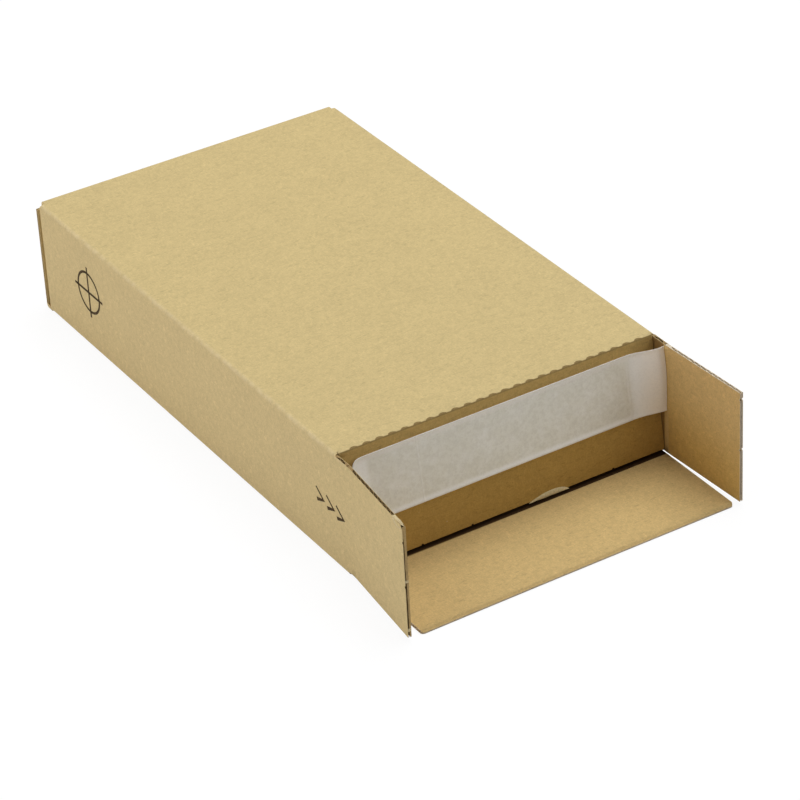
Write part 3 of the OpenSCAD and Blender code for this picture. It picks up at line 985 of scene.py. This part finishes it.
def make_sliver(material):
    """A sliver of torn paper along the closing flap's lower edge."""
    low = (CLOSING_AXIS.z - CLOSING_LO.z - HALF_T * math.sin(CLOSING_REST)) / math.cos(CLOSING_REST)
    grid = []
    for x in spaced(SLIVER_X[0], SLIVER_X[1], 0.5 * MM):
        t = (x - SLIVER_X[0]) / (SLIVER_X[1] - SLIVER_X[0])
        ragged = noise.noise(Vector((x / (1.9 * MM), 1.9, 0.4)))
        swell = math.sin(math.pi / 2 * min(1.0, t / 0.6)) * (1 - t ** 8)
        tall = SLIVER_TALL * swell * (1 + 0.12 * ragged) + 0.1 * MM
        edge = low + SLIVER_BELOW + 0.1 * ragged * MM
        lean = (0.2 + 0.4 * t) * MM
        grid.append([on_closing(x, edge - tall * share, out + lean * leaning)
                     for share, out, leaning in SLIVER_ROWS])
    sheets = Sheets()
    sheets.add(grid, SLIVER_T, (0, -1, 0))
    made = sheets.make("torn_sliver", material)
    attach(made, "closing")


def along_row(row, t):
    """A place on a row of places, at a share of its length."""
    at = t * (len(row) - 1)
    k = min(int(at), len(row) - 2)
    return [a + (b - a) * (at - k) for a, b in zip(row[k], row[k + 1])]


def make_torn_corner(material):
    """The left flap's torn upper corner, and the pale bits and the burr that the die left on its end."""
    low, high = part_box("left_flap")
    c, s = math.cos(LEFT_REST), math.sin(LEFT_REST)
    run, out = Vector((-s, -c, 0)), Vector((-c, s, 0))
    length = (LEFT_AXIS.y - low.y - HALF_T * s) / c
    corner = Vector((LEFT_AXIS.x, LEFT_AXIS.y, high.z)) + run * length + out * HALF_T

    def at(back, drop, off):
        return corner - run * back * MM + out * off * MM - Vector((0, 0, drop * MM))

    grid = []
    for k in range(CORNER_STEPS + 1):
        line = []
        for j, row in enumerate(CORNER_ROWS):
            back, drop, off = along_row(row, k / CORNER_STEPS)
            ragged = noise.noise(Vector((k * 0.61, j * 0.7, 8.8)))
            line.append(at(back, drop + CORNER_RAGGED[j] * ragged, off))
        grid.append(line)
    torn = Sheets()
    torn.add(grid, SKIN_T, out + Vector((0, 0, 1)))
    for top, end in END_BITS:
        grid = [[at(-0.06, z, off) for off in END_BIT_ROW] for z in (top, (top + end) / 2, end)]
        torn.add(grid, SKIN_T, run)
    grid = []
    for drop in spaced(0.3, (high.z - low.z) / MM - 0.3, BURR_GAP):
        edge = BURR_OUTER - sum(deep * smooth((drop - start) / over) for deep, start, over in BURR_DRAWN)
        edge += 0.18 * smooth(drop / 5) * noise.noise(Vector((drop / 2.7, 5.5, 0.3)))
        grid.append([at(-0.04, drop, off) for off in (edge, (edge + BURR_INNER) / 2, BURR_INNER)])
    burr = Sheets()
    burr.add(grid, 0.04 * MM, run)
    for made in (torn.make("torn_corner", material),
                 burr.make("left_edge_burr", board("board_burr", 1, plain_tone(EDGE_BURR)))):
        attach(made, "left")


def torn_material():
    """Fuzzy torn paper, paler than the board's face."""
    s = Shader("torn_paper")
    fuzz = s.noise(0.7, detail=4, rough=0.75)
    colour = s.mix(s.step(fuzz, 0.3, 0.7), linear(TORN), linear(darker(TORN, 0.86)))
    s.bump(s.times(fuzz, 0.12))
    return s.finish(colour, s.math("ADD", 0.8, s.times(fuzz, 0.1)), 0.1)


# Studio
FLOOR_GLOW = 0.91
FLOOR_TRACE = 0.11
FLOOR_GREY = 0.85
WORLD_LEVEL = 0.107
FLOOR_SIZE = 6.0
FLOOR_DROP = 0.05 * MM
WHITE = (1.0, 1.0, 1.0)
COOL = (1.0, 0.95, 1.07)
# Name, place, size, power and colour: a broad light from above, fills from the left and a weak one in front
LIGHTS = (
    ("key_above", (0.40, 0.24, 1.50), (1.4, 1.2), 20.2, WHITE),
    ("left_above", (-1.00, 0.10, 1.20), (1.0, 1.0), 4.1, WHITE),
    ("left_low_back", (-1.40, 0.55, 0.32), (1.0, 0.5), 4.6, COOL),
    ("left_low", (-1.45, -0.10, 0.40), (1.0, 0.5), 2.7, COOL),
    ("right_front", (0.90, -1.10, 0.80), (1.0, 0.8), 3.6, WHITE))


def grey(level):
    return (level, level, level, 1)


def shader_node(tree, kind, **values):
    """A shader node of a tree, with the given values in its sockets."""
    made = tree.nodes.new("ShaderNode" + kind)
    for socket, value in values.items():
        made.inputs[socket].default_value = value
    return made


def by_ray(tree, rays, others, direct, output):
    """Shows the node direct to two kinds of ray, and the node others to the rest."""
    path = tree.nodes.new("ShaderNodeLightPath")
    either = tree.nodes.new("ShaderNodeMath")
    either.operation = "MAXIMUM"
    mix = tree.nodes.new("ShaderNodeMixShader")
    for ray, socket in zip(rays, either.inputs):
        tree.links.new(path.outputs[ray], socket)
    for node, socket in zip((either, others, direct), mix.inputs):
        tree.links.new(node.outputs[0], socket)
    tree.links.new(mix.outputs[0], tree.nodes.new(output).inputs["Surface"])


def floor_material():
    """Floor that looks white to the camera, with a soft trace of the object's shadow."""
    material = bpy.data.materials.new("floor_paper")
    material.use_nodes = True
    tree = material.node_tree
    tree.nodes.clear()
    both = shader_node(tree, "AddShader")
    for node, socket in zip((shader_node(tree, "Emission", Strength=FLOOR_GLOW),
                             shader_node(tree, "BsdfDiffuse", Color=grey(FLOOR_TRACE))), both.inputs):
        tree.links.new(node.outputs[0], socket)
    plain = shader_node(tree, "BsdfDiffuse", Color=grey(FLOOR_GREY))
    by_ray(tree, ("Is Camera Ray", "Is Glossy Ray"), plain, both, "ShaderNodeOutputMaterial")
    return material


def make_floor():
    corners = [(x * FLOOR_SIZE, y * FLOOR_SIZE, BODY_LO.z - FLOOR_DROP)
               for x, y in ((-1, -1), (1, -1), (1, 1), (-1, 1))]
    mesh_object("floor", corners, [(0, 1, 2, 3)], floor_material(), flat=(0,))


def make_world():
    """White to the camera; a dimmer soft grey to everything else."""
    world = bpy.data.worlds.new("studio")
    bpy.context.scene.world = world
    world.use_nodes = True
    tree = world.node_tree
    tree.nodes.clear()
    dim, white = (shader_node(tree, "Background", Color=grey(1), Strength=level)
                  for level in (WORLD_LEVEL, 1.0))
    by_ray(tree, ("Is Camera Ray", "Is Transmission Ray"), dim, white, "ShaderNodeOutputWorld")


def soft_light(name, place, size, power, colour):
    """A rectangular area light that looks at the middle of the box's base."""
    data = bpy.data.lights.new(name, "AREA")
    data.shape = "RECTANGLE"
    data.size, data.size_y = size
    data.energy = power
    data.color = colour
    lamp = bpy.data.objects.new(name, data)
    lamp.location = place
    lamp.rotation_mode = "QUATERNION"
    lamp.rotation_quaternion = (-Vector(place)).to_track_quat("-Z", "Y")
    bpy.context.scene.collection.objects.link(lamp)


# Camera, from the fit to the photograph's edges
CAMERA_PLACE = (-0.640209, -1.134261, 0.802391)
CAMERA_AZIMUTH = math.radians(-30.553)
CAMERA_ELEVATION = math.radians(32.131)
CAMERA_ROLL = math.radians(-3.218)
CAMERA_FOCUS_PX = 3540.581
IMAGE_PX = 800
SENSOR = 36.0


def make_camera():
    """The camera of the photograph."""
    ca, sa = math.cos(CAMERA_AZIMUTH), math.sin(CAMERA_AZIMUTH)
    ce, se = math.cos(CAMERA_ELEVATION), math.sin(CAMERA_ELEVATION)
    back = Vector((sa * ce, -ca * ce, se))
    right = (-back).cross(Vector((0, 0, 1))).normalized()
    up = right.cross(-back)
    cr, sr = math.cos(CAMERA_ROLL), math.sin(CAMERA_ROLL)
    across, above = right * cr + up * sr, up * cr - right * sr
    data = bpy.data.cameras.new("camera")
    data.sensor_width = SENSOR
    data.lens = CAMERA_FOCUS_PX / IMAGE_PX * SENSOR
    data.clip_start, data.clip_end = 0.05, 50.0
    camera = bpy.data.objects.new("camera", data)
    camera.matrix_world = Matrix((
        (across.x, above.x, back.x, CAMERA_PLACE[0]),
        (across.y, above.y, back.y, CAMERA_PLACE[1]),
        (across.z, above.z, back.z, CAMERA_PLACE[2]),
        (0, 0, 0, 1)))
    bpy.context.scene.collection.objects.link(camera)
    bpy.context.scene.camera = camera


def dress_flaps():
    """Gives the carton, its flaps and the adhesive their materials. Returns the bottom flap's."""
    up, across = Vector((0, 0, 1)), Vector((1, 0, 0))
    c, s = math.cos(CLOSING_REST), math.sin(CLOSING_REST)
    closing = (Vector((0, c, -s)), across, Vector((0, -s, -c)))
    c, s = math.cos(LEFT_REST), math.sin(LEFT_REST)
    left = (Vector((c, -s, 0)), up, Vector((-s, -c, 0)))
    c, s = math.cos(RIGHT_REST), math.sin(RIGHT_REST)
    right = (Vector((-c, -s, 0)), up, Vector((s, -c, 0)))
    bottom = (up, across, Vector((0, -1, 0)))
    dress("carton_body", board("board_carton", 1, body_tone, body_raw, body_light, grain=OUTER_GRAIN))
    dress("closing_flap", board("board_closing", 2, closing_tone, flap_raw(CLOSING_AXIS, *closing)))
    # Painted shade: the left flap's inner side gets the warmer kraft
    dress("left_flap", board("board_left", 1, two_tones(left[0], KRAFT_INSIDE_SHADED, KRAFT),
                             flap_raw(LEFT_AXIS, *left), grain=OUTER_GRAIN))
    # Painted light: the right flap's cut edges are drawn paler
    dress("right_flap", board("board_right", 1, right_tone(right[0]), flap_raw(RIGHT_AXIS, *right),
                              edges=CRUSHED_PAINTED_LIGHT_EDGES))
    dress("adhesive_strip", adhesive_material())
    # Painted light: the bottom flap's cut edges are drawn paler
    return board("board_bottom", 1, two_tones(up, KRAFT_BOTTOM, KRAFT),
                 flap_raw(BOTTOM_AXIS, *bottom, flatten=unbowed), edges=CRUSHED_PAINTED_LIGHT_EDGES)


make_camera()
make_world()
for light in LIGHTS:
    soft_light(*light)
make_floor()
make_bottom_flap(dress_flaps())
make_folds()
make_liner(liner_material())
make_prints(ink_material())
torn_paper = torn_material()
make_sliver(torn_paper)
make_torn_corner(torn_paper)

bpy.context.scene.view_settings.view_transform = "Standard"
